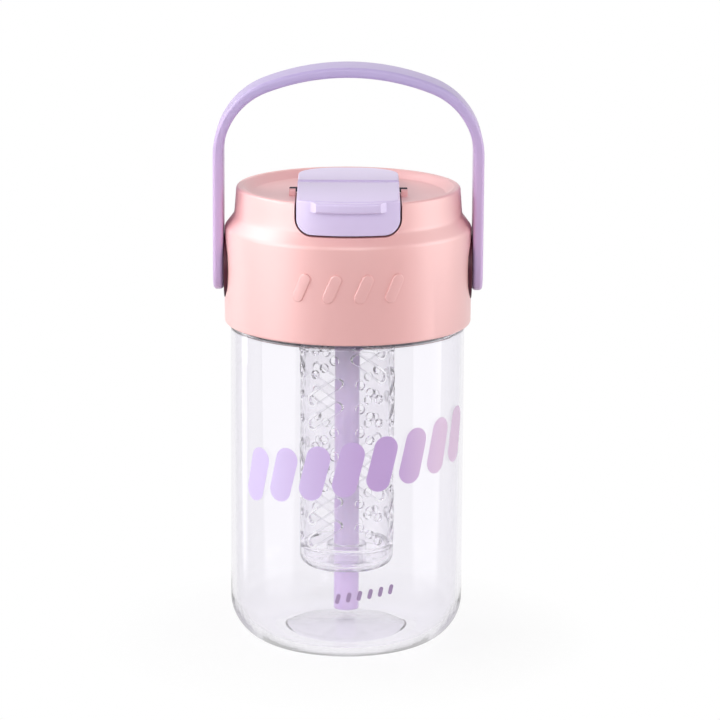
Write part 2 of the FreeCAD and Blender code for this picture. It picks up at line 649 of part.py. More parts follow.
def spout_duct():
    """The moulded channel from the mouthpiece back to the middle, with the stem that the straw pushes on."""
    channel_low = PLATE_TOP_Z + DUCT_WALL
    channel_high = WELL_UNDER_Z - DUCT_WALL
    middle = SPOUT_Y / 2
    length = 2 * DUCT_HALF_WIDTH - SPOUT_Y

    def run(inset, low, high):
        shape = pill(length - 2 * inset, 2 * (DUCT_HALF_WIDTH - inset), low, high)
        shape.rotate(Vector(0, 0, 0), Vector(0, 0, 1), 90)
        shape.translate(Vector(0, middle, 0))
        return shape

    stem_low = PLATE_Z - STEM_LENGTH
    body = run(0, PLATE_TOP_Z, WELL_UNDER_Z).fuse(rod(STEM_RADIUS, stem_low, PLATE_TOP_Z + NUDGE))
    channel = run(DUCT_WALL, channel_low, channel_high)
    inlet = rod(MOUTHPIECE_BORE, channel_low, WELL_UNDER_Z + NUDGE, 0, SPOUT_Y)
    outlet = rod(STEM_RADIUS - STEM_WALL, stem_low - NUDGE, channel_high)
    return body.cut([channel, inlet, outlet]).removeSplitter()


def spout_oring():
    """The ring that seals the stem where it passes through the liner."""
    middle = STEM_RADIUS + FIT_GAP + ORING_SECTION
    return Part.makeTorus(middle, ORING_SECTION, Vector(0, 0, PLATE_TOP_Z - ORING_SECTION))


def vent_valve():
    """The umbrella valve that lets air in behind the straw."""
    bead = VENT_STEM + VENT_BEAD
    bead_top = PLATE_TOP_Z + VENT_STEM
    return turned([
        (0, PLATE_Z - VENT_CAP_THICKNESS), (VENT_CAP, PLATE_Z - VENT_CAP_THICKNESS / 2),
        (VENT_CAP, PLATE_Z), (VENT_STEM, PLATE_Z), (VENT_STEM, PLATE_TOP_Z),
        (bead, PLATE_TOP_Z), (VENT_STEM, bead_top), (0, bead_top),
    ], 0, VENT_Y)


def straw():
    """The straw, pushed over the stem and reaching nearly to the floor."""
    return ring(STRAW_BORE, STRAW_RADIUS, FLOOR_TOP_Z + STRAW_FLOOR_GAP, PLATE_Z - FIT_GAP, STRAW_END_ROUND)


def perforations():
    """Slanted slots and rows of holes in chevrons round the tube, in bands that change from arm to arm."""
    near = INFUSER_RADIUS / 3
    far = INFUSER_RADIUS + OVERSIZE
    first_z = BASE_TOP_Z + LOW_MARGIN
    row_pitch = (COLLAR_GRIP_Z - TOP_MARGIN - first_z) / (ROW_COUNT - 1)
    cuts = []
    for arm in range(ARM_COUNT):
        azimuth = ARM_TURN + arm * 360 / ARM_COUNT
        odd = arm % 2
        slant = -SLANT if odd else SLANT
        for row in range(ROW_COUNT):
            height = first_z + row * row_pitch
            if (row - odd * SLOT_ROWS) % ROW_CYCLE < SLOT_ROWS:
                cuts.append(radial_pill(SLOT_LENGTH, SLOT_WIDTH, slant, near, far, azimuth, height))
            else:
                cuts.extend(hole_row(azimuth, height, slant, near, far))
    return cuts


def hole_row(azimuth, height, slant, near, far):
    """A slanted row of round holes."""
    holes = []
    for i in range(DOTS_PER_ROW):
        along = (i - (DOTS_PER_ROW - 1) / 2) * DOT_SPACING
        rise = along * math.sin(math.radians(slant))
        turn = math.degrees(along * math.cos(math.radians(slant)) / INFUSER_RADIUS)
        hole = Part.makeCylinder(DOT_RADIUS, far - near, Vector(0, -near, height + rise), Vector(0, -1, 0))
        hole.rotate(Vector(0, 0, 0), Vector(0, 0, 1), azimuth + turn)
        holes.append(hole)
    return holes


def infuser_tube():
    """The clear infuser tube: perforated wall, and a thinner spigot that the base screws on."""
    inner = INFUSER_RADIUS - INFUSER_WALL
    spigot_outer = INFUSER_RADIUS - BASE_WALL - MOTION_GAP
    spigot_inner = spigot_outer - INFUSER_WALL
    spigot_low = INFUSER_BOTTOM_Z + BASE_FLOOR + BASE_ROUND - BASE_WALL + MOTION_GAP
    tube = turned([
        (spigot_inner, spigot_low), (spigot_outer, spigot_low), (spigot_outer, BASE_TOP_Z + FIT_GAP),
        (INFUSER_RADIUS, BASE_TOP_Z + FIT_GAP), (INFUSER_RADIUS, COLLAR_TOP_Z),
        (inner, COLLAR_TOP_Z), (inner, BASE_TOP_Z + INFUSER_WALL), (spigot_inner, BASE_TOP_Z + FIT_GAP),
    ])
    return tube.cut(perforations())


def infuser_collar():
    """The ring at the tube's top that turns into the liner's socket, with a wider grip below."""
    grip_radius = COLLAR_OUTER + COLLAR_GRIP_REACH
    return turned([
        (INFUSER_RADIUS, COLLAR_GRIP_Z), (grip_radius, COLLAR_GRIP_Z, COLLAR_ROUND),
        (grip_radius, COLLAR_BOTTOM_Z - FIT_GAP, COLLAR_ROUND), (COLLAR_OUTER, COLLAR_BOTTOM_Z - FIT_GAP),
        (COLLAR_OUTER, COLLAR_TOP_Z, COLLAR_ROUND), (INFUSER_RADIUS, COLLAR_TOP_Z),
    ])


def infuser_seal():
    """The flat ring between the collar and the liner's plate."""
    return ring(INFUSER_RADIUS - INFUSER_WALL, COLLAR_OUTER, COLLAR_TOP_Z, PLATE_Z)


def infuser_base():
    """The infuser's round-edged base, with drain holes and a guide for the straw."""
    inner = INFUSER_RADIUS - BASE_WALL
    floor_z = INFUSER_BOTTOM_Z + BASE_FLOOR
    hole = GROMMET_RADIUS + FIT_GAP / 2
    guide = hole + BASE_WALL
    guide_z = INFUSER_BOTTOM_Z + BASE_GUIDE
    solid = turned([
        (hole, INFUSER_BOTTOM_Z), (INFUSER_RADIUS, INFUSER_BOTTOM_Z, BASE_ROUND),
        (INFUSER_RADIUS, BASE_TOP_Z, BASE_EDGE_ROUND), (inner, BASE_TOP_Z),
        (inner, floor_z, BASE_ROUND - BASE_WALL), (guide, floor_z), (guide, guide_z, BASE_EDGE_ROUND),
        (hole, guide_z),
    ])
    circle = (guide + inner - BASE_ROUND + BASE_WALL) / 2
    holes = []
    for i in range(BASE_HOLE_COUNT):
        angle = 2 * math.pi * i / BASE_HOLE_COUNT
        holes.append(rod(BASE_HOLE_RADIUS, INFUSER_BOTTOM_Z - NUDGE, floor_z + NUDGE,
                         circle * math.cos(angle), circle * math.sin(angle)))
    return solid.cut(holes)


def straw_grommet():
    """The silicone sleeve in the base that the straw slides through."""
    inner = GROMMET_BORE
    flange_z = INFUSER_BOTTOM_Z - GROMMET_FLANGE
    top_z = INFUSER_BOTTOM_Z + BASE_GUIDE
    return turned([
        (inner, flange_z), (GROMMET_RADIUS + GROMMET_FLANGE, flange_z, SOFT_ROUND),
        (GROMMET_RADIUS + GROMMET_FLANGE, INFUSER_BOTTOM_Z), (GROMMET_RADIUS, INFUSER_BOTTOM_Z),
        (GROMMET_RADIUS, top_z), (inner, top_z),
    ])


def arch_edges(inset):
    """The arch of the handle, from one arm to the other, set in from its outside."""
    half = HANDLE_OUTER
    rise = HANDLE_RISE
    corner = rise * HANDLE_CORNER_SHARE
    crown = (half ** 2 - 2 * half * corner + rise ** 2) / (2 * (rise - corner))
    spring_z = RIM_Z + HANDLE_SPRING
    corner_x = half - corner
    crown_z = spring_z + rise - crown
    lean = math.atan2(corner_x, spring_z - crown_z)
    corner = corner - inset
    crown = crown - inset

    def on_corner(angle):
        return Vector(corner_x + corner * math.sin(angle), 0, spring_z + corner * math.cos(angle))

    def on_crown(angle):
        return Vector(crown * math.sin(angle), 0, crown_z + crown * math.cos(angle))

    def flipped(point):
        return Vector(-point.x, point.y, point.z)

    foot = Vector(half - inset, 0, PIVOT_Z - HANDLE_WIDTH / 2 - OVERSIZE)
    spring = on_corner(math.pi / 2)
    bend = on_corner((math.pi / 2 + lean) / 2)
    join = on_corner(lean)
    return [
        Part.LineSegment(foot, spring).toShape(),
        Part.Arc(spring, bend, join).toShape(),
        Part.Arc(join, on_crown(0), flipped(join)).toShape(),
        Part.Arc(flipped(join), flipped(bend), flipped(spring)).toShape(),
        Part.LineSegment(flipped(spring), flipped(foot)).toShape(),
    ]


def handle_stud():
    """A split snap stud on the inside of the handle's right arm."""
    barb_x = BOSS_INNER_X - FIT_GAP
    tip_x = barb_x - BARB_LENGTH
    stud = turned_about_x([
        (HANDLE_INNER + HANDLE_THICKNESS / 2, 0), (HANDLE_INNER + HANDLE_THICKNESS / 2, STUD_RADIUS),
        (barb_x, STUD_RADIUS), (barb_x, STUD_RADIUS + BARB_REACH),
        (tip_x, STUD_RADIUS - BARB_REACH / 2), (tip_x, 0),
    ])
    slit = block(tip_x - NUDGE, HANDLE_INNER, -STUD_SLIT / 2, STUD_SLIT / 2, -BOSS_RADIUS, BOSS_RADIUS)
    stud = stud.cut(slit)
    stud.translate(Vector(0, 0, PIVOT_Z))
    return stud


def handle():
    """The carrying handle: a flat band bent into an arch, with round ends and two snap studs."""
    outside = arch_edges(0)
    inside = arch_edges(HANDLE_THICKNESS)
    foot_right = Part.LineSegment(inside[0].Vertexes[0].Point, outside[0].Vertexes[0].Point).toShape()
    foot_left = Part.LineSegment(outside[-1].Vertexes[-1].Point, inside[-1].Vertexes[-1].Point).toShape()
    band = Part.Face(Part.Wire(Part.__sortEdges__(outside + inside + [foot_right, foot_left])))
    half = HANDLE_WIDTH / 2
    band.translate(Vector(0, -half, 0))
    strap = band.extrude(Vector(0, HANDLE_WIDTH, 0))
    round_end = half - END_FLAT
    above = RIM_Z + HANDLE_SPRING + HANDLE_RISE + OVERSIZE
    side = outline([
        (-half, PIVOT_Z - half, round_end), (half, PIVOT_Z - half, round_end), (half, above), (-half, above),
    ], along_yz)
    side.translate(Vector(-HANDLE_OUTER - OVERSIZE, 0, 0))
    strap = strap.common(side.extrude(Vector(2 * (HANDLE_OUTER + OVERSIZE), 0, 0)))
    edges = [e for e in strap.Edges if abs(e.CenterOfMass.y) > half / 4 or e.CenterOfMass.z < PIVOT_Z]
    strap = strap.makeFillet(HANDLE_EDGE_ROUND, edges)
    return strap.fuse(mirrored(handle_stud())).removeSplitter()


NODES = [
    bottle, lid_shell, lid_liner, lid_gasket, flap, flap_seal, flap_hinge_pin, hinge_cover, mouthpiece,
    spout_duct, spout_oring, vent_valve, straw, infuser_tube, infuser_collar, infuser_seal, infuser_base,
    straw_grommet, handle,
]


def main():
    os.makedirs("parts", exist_ok=True)
    for make in NODES:
        shape = make()
        shape.exportStep(os.path.join("parts", make.__name__ + ".step"))
        print(make.__name__, len(shape.Solids), "solid", round(shape.Volume, 1), "mm3", shape.isValid())


main()
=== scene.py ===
"""Looks of a fruit infuser water bottle: clear bottle, satin lid, flap, handle, straw and infuser."""

import math

import bmesh
import bpy
from mathutils import Matrix, Vector


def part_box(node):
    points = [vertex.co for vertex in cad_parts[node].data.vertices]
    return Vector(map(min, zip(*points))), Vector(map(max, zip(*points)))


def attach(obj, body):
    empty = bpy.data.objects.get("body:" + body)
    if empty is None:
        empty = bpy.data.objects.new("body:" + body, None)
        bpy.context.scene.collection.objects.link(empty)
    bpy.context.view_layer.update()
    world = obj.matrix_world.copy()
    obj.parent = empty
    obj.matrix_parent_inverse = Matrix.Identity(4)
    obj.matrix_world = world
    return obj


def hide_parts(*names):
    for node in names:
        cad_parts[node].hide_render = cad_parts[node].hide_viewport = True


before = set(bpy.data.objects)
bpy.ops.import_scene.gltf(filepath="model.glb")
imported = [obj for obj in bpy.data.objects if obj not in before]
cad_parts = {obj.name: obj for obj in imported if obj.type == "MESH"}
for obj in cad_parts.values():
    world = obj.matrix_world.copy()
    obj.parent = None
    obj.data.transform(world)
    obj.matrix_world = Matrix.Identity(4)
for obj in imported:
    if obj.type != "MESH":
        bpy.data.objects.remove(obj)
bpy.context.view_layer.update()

bl_info = {
    "name": "Infuser Bottle",
    "version": (1, 0, 0),
    "blender": (4, 5, 0),
    "location": "View3D > Sidebar > Infuser Bottle",
    "description": "Dresses the packed infuser bottle with smooth mouldings, prints and plastics",
    "category": "Object",
}

MM = 0.001
MERGE = 0.001 * MM
PHOTO_SIZE = 720
SENSOR = 36.0

# Places and sizes on the solids that the added pieces fit
NECK_RADIUS = 41.8 * MM
LINER_RADIUS = 43.2 * MM
PIVOT_HEIGHT = 156.5 * MM
# PAD_ sizes are for the dark rings set as painted shade in the gaps at the handle's pivots
PAD_INNER = 8.4 * MM
PAD_OUTER = 13.3 * MM
PAD_NEAR = 48.7 * MM
PAD_FAR = 50.25 * MM
PAD_ROUND = 0.3 * MM
PUNT_RADIUS = 24.2 * MM
PUNT_RIM = 1.0 * MM
PUNT_CROWN = 5.0 * MM
HEEL_TOP = 40.0 * MM
HEEL_FADE = 30.0 * MM
FROST_DEPTH = 1.2 * MM
FROST_MARGIN = 0.8 * MM
FROST_FADE = 0.4 * MM
# Grey-lilac painted shade on the frosted underside of the punt
PUNT_PAINTED_SHADE = (0.78, 0.75, 0.83)
# BOW_START and BOW_RISE place the painted shade on the handle's bow
BOW_START = 195.0 * MM
BOW_RISE = 35.0 * MM
PRINT_REACH = 40.0 * MM

# Edges bent by more than these angles stay sharp
MOULDING_SHARP = math.radians(28.0)
RIM_SHARP = math.radians(30.0)
THREAD_SHARP = math.radians(35.0)
FILM_SHARP = math.radians(40.0)

# Bands of slots in the infuser's wall
INFUSER_RADIUS = 19.2 * MM
SLOT_LENGTH = 18.0 * MM
SLOT_WIDTH = 4.0 * MM
SLOT_SLANT = math.radians(36.0)
SLOT_ARMS = 6
SLOT_TURN = math.radians(-30.0)
SLOT_ROWS = 10
SLOT_CYCLE = 5
SLOTS_PER_BAND = 2
SLOT_FIRST = 47.5 * MM
SLOT_PITCH = 10.0 * MM

# Softboxes: name, place, size and power
SOFTBOXES = (
    ("left_softbox", (-0.73, -0.32, 0.47), (0.76, 0.62), 2.2),
    ("rim_softbox", (-0.70, 0.38, 0.34), (0.26, 0.80), 0.8),
    ("right_softbox", (0.80, -0.08, 0.47), (0.54, 0.62), 1.9),
    ("top_softbox", (-0.62, 0.12, 0.72), (0.50, 0.40), 2.8),
    ("front_softbox", (0.10, -1.02, 0.66), (0.90, 0.50), 4.4),
)
# Softboxes that sparkle through the clear plastics; the others would leave hard glints in the heel
SPARKLING = ("front_softbox",)
# Softboxes that only show as sheen, in the same form
SHEEN_BOXES = (
    ("left_sheen", (-0.70, -0.31, 0.30), (0.76, 0.36), 2.5),
    ("right_sheen", (0.77, -0.08, 0.30), (0.54, 0.36), 1.3),
)
LAMP_AIM = (0.0, 0.0, 0.14)

# Facing angles of the wall between which it mirrors a bright card
STRIPS = ((-64.0, -57.0), (-45.5, -25.5), (33.4, 53.0))

# The floor: its shadow's reach, and how it shows in gloss
FLOOR_RADIUS = 2.5
SHADOW_NEAR = 45.0 * MM
SHADOW_FADE = 60.0 * MM
CARD_NEAR = 110.0 * MM
CARD_FADE = 50.0 * MM
CARD_GLOW = 1.5
FLOOR_GLOSS = 0.40
BOUNCES = 32


class BottleLooks(bpy.types.PropertyGroup):
    """Colours and sizes of the bottle that a user would change."""
    lid_pink: bpy.props.FloatVectorProperty(
        name="Lid", description="Colour of the lid shell", subtype="COLOR", size=3,
        default=(0.85, 0.395, 0.385))
    handle_lilac: bpy.props.FloatVectorProperty(
        name="Handle", description="Colour of the handle", subtype="COLOR", size=3,
        default=(0.60, 0.41, 0.70))
    # Painted shade: the darker, bluer colour at the handle's bow stands in for how the light falls there
    bow_lilac: bpy.props.FloatVectorProperty(
        name="Handle bow", description="Colour that the handle shades into at its bow", subtype="COLOR",
        size=3, default=(0.50, 0.40, 0.70))
    flap_lilac: bpy.props.FloatVectorProperty(
        name="Flap", description="Colour of the flap and hinge cover", subtype="COLOR", size=3,
        default=(0.68, 0.55, 0.86))
    straw_lilac: bpy.props.FloatVectorProperty(
        name="Straw", description="Colour of the straw", subtype="COLOR", size=3,
        default=(0.64, 0.51, 0.74))
    print_lilac: bpy.props.FloatVectorProperty(
        name="Print left", description="Colour of the print at its left end", subtype="COLOR", size=3,
        default=(0.70, 0.58, 0.90))
    print_pink: bpy.props.FloatVectorProperty(
        name="Print right", description="Colour of the print at its right end", subtype="COLOR", size=3,
        default=(0.80, 0.60, 0.80))
    # Painted shade: the near-black rings at the pivots stand in for the shade between the handle's arms and
    # the lid
    pad_maroon: bpy.props.FloatVectorProperty(
        name="Friction pads", description="Colour of the pads at the handle's pivots", subtype="COLOR",
        size=3, default=(0.07, 0.006, 0.022))
    liner_white: bpy.props.FloatVectorProperty(
        name="Liner", description="Colour of the liner and spout duct", subtype="COLOR", size=3,
        default=(0.83, 0.79, 0.80))
    clear_tint: bpy.props.FloatVectorProperty(
        name="Clear plastic", description="Tint of the clear plastic", subtype="COLOR", size=3,
        default=(0.966, 0.957, 0.985))
    infuser_tint: bpy.props.FloatVectorProperty(
        name="Infuser", description="Tint of the clear infuser", subtype="COLOR", size=3,
        default=(0.990, 0.986, 0.996))
    # Painted shade: the grey that clear plastic is blended into where it is seen edge-on
    clear_edge: bpy.props.FloatVectorProperty(
        name="Clear edge", description="Tint of clear plastic that is seen edge-on", subtype="COLOR", size=3,
        default=(0.60, 0.57, 0.66))
    print_mid: bpy.props.FloatVectorProperty(
        name="Print middle", description="Colour of the print right of its middle", subtype="COLOR", size=3,
        default=(0.55, 0.36, 0.70))
    mark_violet: bpy.props.FloatVectorProperty(
        name="Small marks", description="Colour of the small marks", subtype="COLOR", size=3,
        default=(0.36, 0.25, 0.44))
    bar_count: bpy.props.IntProperty(
        name="Bars", description="Number of printed bars", default=8)
    bar_length: bpy.props.FloatProperty(
        name="Bar length", description="Length of a printed bar", unit="LENGTH", default=23.0 * MM)
    bar_width: bpy.props.FloatProperty(
        name="Bar width", description="Width of a printed bar", unit="LENGTH", default=10.0 * MM)
    bar_height: bpy.props.FloatProperty(
        name="Print height", description="Height of the print at the front", unit="LENGTH", default=82.5 * MM)
    bar_pitch: bpy.props.FloatProperty(
        name="Bar pitch", description="Angle round the bottle from bar to bar", subtype="ANGLE",
        default=math.radians(16.5))
    bar_turn: bpy.props.FloatProperty(
        name="Print turn", description="Angle of the print's middle from the front", subtype="ANGLE",
        default=math.radians(9.0))
    bar_climb: bpy.props.FloatProperty(
        name="Print climb", description="Slope of the row of bars", subtype="ANGLE",
        default=math.radians(8.3))
    bar_slant: bpy.props.FloatProperty(
        name="Bar slant", description="Lean of a bar or mark from upright", subtype="ANGLE",
        default=math.radians(14.0))
    mark_count: bpy.props.IntProperty(
        name="Marks", description="Number of small printed marks", default=6)
    mark_length: bpy.props.FloatProperty(
        name="Mark length", description="Length of a small mark", unit="LENGTH", default=4.2 * MM)
    mark_width: bpy.props.FloatProperty(
        name="Mark width", description="Width of a small mark", unit="LENGTH", default=1.7 * MM)
    mark_height: bpy.props.FloatProperty(
        name="Mark height", description="Height of the marks at the front", unit="LENGTH", default=29.5 * MM)
    mark_pitch: bpy.props.FloatProperty(
        name="Mark pitch", description="Angle round the bottle from mark to mark", subtype="ANGLE",
        default=math.radians(5.2))
    rim_width: bpy.props.FloatProperty(
        name="Slot rim width", description="Width of the rim round a slot", unit="LENGTH", default=0.8 * MM)
    rim_proud: bpy.props.FloatProperty(
        name="Slot rim height", description="How far the rim stands out", unit="LENGTH", default=0.2 * MM)
    thread_pitch: bpy.props.FloatProperty(
        name="Thread pitch", description="Rise of the neck thread per turn", unit="LENGTH", default=6.5 * MM)
    thread_height: bpy.props.FloatProperty(
        name="Thread height", description="How far the thread stands out", unit="LENGTH", default=0.6 * MM)
    thread_width: bpy.props.FloatProperty(
        name="Thread width", description="Width of the thread at its foot", unit="LENGTH", default=2.2 * MM)
    thread_start: bpy.props.FloatProperty(
        name="Thread start", description="Height at which the neck thread starts", unit="LENGTH",
        default=146.5 * MM)
    thread_turns: bpy.props.FloatProperty(
        name="Thread turns", description="Length of the thread in turns", default=1.5)


class StageLooks(bpy.types.PropertyGroup):
    """The camera and the studio."""
    camera_back: bpy.props.FloatProperty(
        name="Camera distance", description="How far in front of the axis the camera stands",
        unit="LENGTH", default=1.440)
    camera_height: bpy.props.FloatProperty(
        name="Camera height", description="Height of the camera", unit="LENGTH", default=0.4434)
    aim_side: bpy.props.FloatProperty(
        name="Aim to the side", description="How far right of the axis the camera aims",
        unit="LENGTH", default=0.00514)
    aim_height: bpy.props.FloatProperty(
        name="Aim height", description="Height that the camera aims at", unit="LENGTH", default=0.1168)
    focal_pixels: bpy.props.FloatProperty(
        name="Focal length", description="Focal length in pixels of the picture", default=3603.0)
    roll: bpy.props.FloatProperty(
        name="Roll", description="Turn of the camera about its line of sight", subtype="ANGLE",
        default=math.radians(0.36))


class Wire:
    """A shader socket that can be used in arithmetic: each operation adds a Math node."""

    def __init__(self, tree, socket):
        self.tree = tree
        self.socket = socket

    def _math(self, operation, first, second=None):
        node = self.tree.nodes.new("ShaderNodeMath")
        node.operation = operation
        for index, value in enumerate((first, second)):
            if isinstance(value, Wire):
                self.tree.links.new(value.socket, node.inputs[index])
            elif value is not None:
                node.inputs[index].default_value = value
        return Wire(self.tree, node.outputs[0])

    def __add__(self, other):
        return self._math("ADD", self, other)

    def __radd__(self, other):
        return self._math("ADD", other, self)

    def __sub__(self, other):
        return self._math("SUBTRACT", self, other)

    def __rsub__(self, other):
        return self._math("SUBTRACT", other, self)

    def __mul__(self, other):
        return self._math("MULTIPLY", self, other)

    def __rmul__(self, other):
        return self._math("MULTIPLY", other, self)

    def __truediv__(self, other):
        return self._math("DIVIDE", self, other)

    def __pow__(self, other):
        return self._math("POWER", self, other)

    def __abs__(self):
        return self._math("ABSOLUTE", self)

    def at_most(self, other):
        return self._math("MINIMUM", self, other)

    def at_least(self, other):
        return self._math("MAXIMUM", self, other)


class Paint:
    """A node material under construction, with its shader already joined to the output."""

    def __init__(self, owner):
        owner.use_nodes = True
        self.owner = owner
        self.tree = owner.node_tree
        self.tree.nodes.clear()

    def node(self, kind, settings=None, output=0, **inputs):
        """Adds a node: its settings first, then the values or links of its named sockets."""
        node = self.tree.nodes.new(kind)
        for name, value in (settings or {}).items():
            setattr(node, name, value)
        for name, value in inputs.items():
            self.feed(node, name.replace("_", " "), value)
        return Wire(self.tree, node.outputs[output])

    def feed(self, node, name, value):
        """Links or sets one input of a node, found by its name or number."""
        socket = node.inputs[int(name)] if name.strip().isdigit() else node.inputs[name]
        if isinstance(value, Wire):
            self.tree.links.new(value.socket, socket)
        elif socket.type == "RGBA":
            socket.default_value = (*tuple(value)[:3], 1.0)
        else:
            socket.default_value = value

    def place(self):
        """Position on the object, in metres of the object's own frame."""
        return self.node("ShaderNodeTexCoord", output=3)

    def noise(self, scale, detail=2.0, roughness=0.5, where=None):
        """A smooth random value from 0 to 1."""
        return self.node("ShaderNodeTexNoise", Vector=where or self.place(), Scale=scale,
                         Detail=detail, Roughness=roughness)

    def blend(self, factor, first, second):
        """A colour between two others."""
        node = self.tree.nodes.new("ShaderNodeMix")
        node.data_type = "RGBA"
        self.feed(node, "0", factor)
        for index, value in ((6, first), (7, second)):
            self.feed(node, str(index), value)
        return Wire(self.tree, node.outputs[2])

    def bump(self, height, strength, distance):
        """A normal tilted by a height."""
        return self.node("ShaderNodeBump", Height=height, Strength=strength, Distance=distance)

    def principled(self, **inputs):
        """The surface shader."""
        return self.node("ShaderNodeBsdfPrincipled", **inputs)

    def open_to_lamps(self, shader, tint):
        """A clear shader that casts only a faint, tinted shadow."""
        lamp_ray = self.node("ShaderNodeLightPath", output=1)
        passing = self.node("ShaderNodeBsdfTransparent", Color=shade(tint, 1.02))
        return self.node("ShaderNodeMixShader", **{"0": lamp_ray, "1": shader, "2": passing})

    def surface(self, shader):
        """Joins a shader to the output."""
        is_world = isinstance(self.owner, bpy.types.World)
        output = self.tree.nodes.new("ShaderNodeOutputWorld" if is_world else "ShaderNodeOutputMaterial")
        self.tree.links.new(shader.socket, output.inputs["Surface"])
        return self.owner


def shade(colour, factor):
    """A colour made lighter or darker."""
    return tuple(min(1.0, c * factor) for c in colour)


def satin_plastic(name, colour, roughness=0.36, grain=0.05, sheen=1.0, depth=0.06, bow=None):
    """Moulded plastic: faint mottling, a fine spark-eroded grain and patches that are rubbed smoother;
    bow is (colour, height, rise) of a painted shade, a darker colour that it blends into above a height."""
    paint = Paint(bpy.data.materials.new(name))
    mottling = paint.noise(38.0, 3.0)
    rubbed = paint.noise(120.0, 4.0, 0.6)
    fine = paint.noise(5200.0, 2.0, 0.6)
    tone = paint.blend(mottling, shade(colour, 0.965), shade(colour, 1.03))
    # Painted shade: above the given height the colour blends into the darker bow colour
    if bow:
        upper, height, rise = bow
        level = paint.node("ShaderNodeSeparateXYZ", output=2, Vector=paint.place())
        tone = paint.blend(((level - height) / rise).at_least(0.0).at_most(1.0), tone, upper)
    shader = paint.principled(
        Base_Color=tone,
        Roughness=roughness - 0.05 + rubbed * 0.10,
        Normal=paint.bump(fine, grain, 0.00012),
        IOR=1.52,
        Coat_Weight=sheen,
        Coat_Roughness=0.50,
        Coat_IOR=2.4,
        Subsurface_Weight=depth,
        Subsurface_Radius=(0.004, 0.003, 0.003),
        Subsurface_Scale=0.3,
    )
    return paint.surface(shader)


def clear_plastic(name, tint, edge, roughness=0.015, waviness=0.04, punt=None, haze=0.0):
    """Clear moulded plastic with the faint waviness of a moulded wall, and a painted shade that turns it
    greyer where it is seen edge-on; haze is the share of light that it scatters, and punt is (radius, rim,
    crown) of a hollow base whose underside is lightly frosted and given a grey-lilac painted shade."""
    paint = Paint(bpy.data.materials.new(name))
    waves = paint.noise(46.0, 2.0)
    cloud = paint.noise(90.0, 3.0)
    # Painted shade: the colour turns greyer where the surface is seen edge-on
    edge_on = paint.node("ShaderNodeLayerWeight", output=1, Blend=0.5) ** 3.0
    tone = paint.blend(edge_on, paint.blend(cloud, shade(tint, 0.985), tint), edge)
    frost_and_painted_shade = 0.0
    if punt:
        radius, rim, crown = punt
        parts = [paint.node("ShaderNodeSeparateXYZ", output=i, Vector=paint.place()) for i in range(3)]
        reach = (parts[0] ** 2.0 + parts[1] ** 2.0) ** 0.5
        cone = rim + crown * (1.0 - reach / radius)
        inside = ((radius + FROST_MARGIN - reach) / FROST_FADE).at_least(0.0).at_most(1.0)
        frost_and_painted_shade = ((cone + FROST_DEPTH - parts[2]) / FROST_FADE).at_least(0.0).at_most(1.0) * inside
        # Near the heel the painted edge shade is weakened
        heel = ((HEEL_TOP - parts[2]) / HEEL_FADE).at_least(0.0).at_most(1.0)
        tone = paint.blend(heel * 0.6, tone, tint)
        # The punt's underside is rougher as real frost and turns grey-lilac as painted shade
        tone = paint.blend(frost_and_painted_shade, tone, PUNT_PAINTED_SHADE)
    shader = paint.principled(
        Base_Color=tone,
        Roughness=roughness + cloud * 0.02 + frost_and_painted_shade * 0.22,
        Normal=paint.bump(waves, waviness, 0.0004),
        IOR=1.5,
        Transmission_Weight=1.0 - haze,
    )
    return paint.surface(paint.open_to_lamps(shader, tint))


def soft_silicone(name, colour, clarity=0.25):
    """Milky or coloured silicone with a dull skin."""
    paint = Paint(bpy.data.materials.new(name))
    cloud = paint.noise(60.0, 3.0)
    fine = paint.noise(3000.0, 2.0)
    shader = paint.principled(
        Base_Color=paint.blend(cloud, shade(colour, 0.97), colour),
        Roughness=0.42 + cloud * 0.1,
        Normal=paint.bump(fine, 0.05, 0.0001),
        IOR=1.42,
        Transmission_Weight=clarity,
        Subsurface_Weight=clarity,
        Subsurface_Radius=(0.004, 0.004, 0.004),
        Subsurface_Scale=0.5,
    )
    return paint.surface(shader)


def drawn_steel(name):
    """Drawn steel wire with fine lines along its length, near-black as painted shade for the pin's slots."""
    paint = Paint(bpy.data.materials.new(name))
    stretch = paint.node("ShaderNodeMapping", Vector=paint.place(), Scale=(1.0, 40.0, 40.0))
    lines = paint.noise(120.0, 3.0, where=stretch)
    shader = paint.principled(
        # Painted shade: the near-black colour stands in for the shaded slots at the pin's ends
        Base_Color=paint.blend(lines, (0.06, 0.05, 0.06), (0.11, 0.10, 0.11)),
        Metallic=1.0,
        Roughness=0.40 + lines * 0.12,
        Normal=paint.bump(lines, 0.1, 0.0001),
    )
    return paint.surface(shader)


def print_ink(name, left, middle, right, reach):
    """Screen ink that fades across the bottle from one colour through a second to a third."""
    paint = Paint(bpy.data.materials.new(name))
    across = paint.node("ShaderNodeSeparateXYZ", Vector=paint.place()) / reach
    speckle = paint.noise(2400.0, 2.0)
    rising = (across + 0.75).at_least(0.0).at_most(1.0)
    ending = (across * 2.0 - 0.9).at_least(0.0).at_most(1.0)
    tone = paint.blend(ending, paint.blend(rising, left, middle), right)
    shader = paint.principled(
        Base_Color=paint.blend(speckle * 0.10, tone, (0.92, 0.88, 0.95)),
        Roughness=0.38 + speckle * 0.1,
        Normal=paint.bump(speckle, 0.06, 0.00005),
        IOR=1.46,
    )
    return paint.surface(shader)


def new_piece(name, mesh, body, material):
    """Puts a finished mesh in the scene as a piece that rides on a body."""
    piece = bpy.data.objects.new(name, mesh)
    bpy.context.scene.collection.objects.link(piece)
    mesh.materials.clear()
    mesh.materials.append(material)
    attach(piece, body)
    return piece


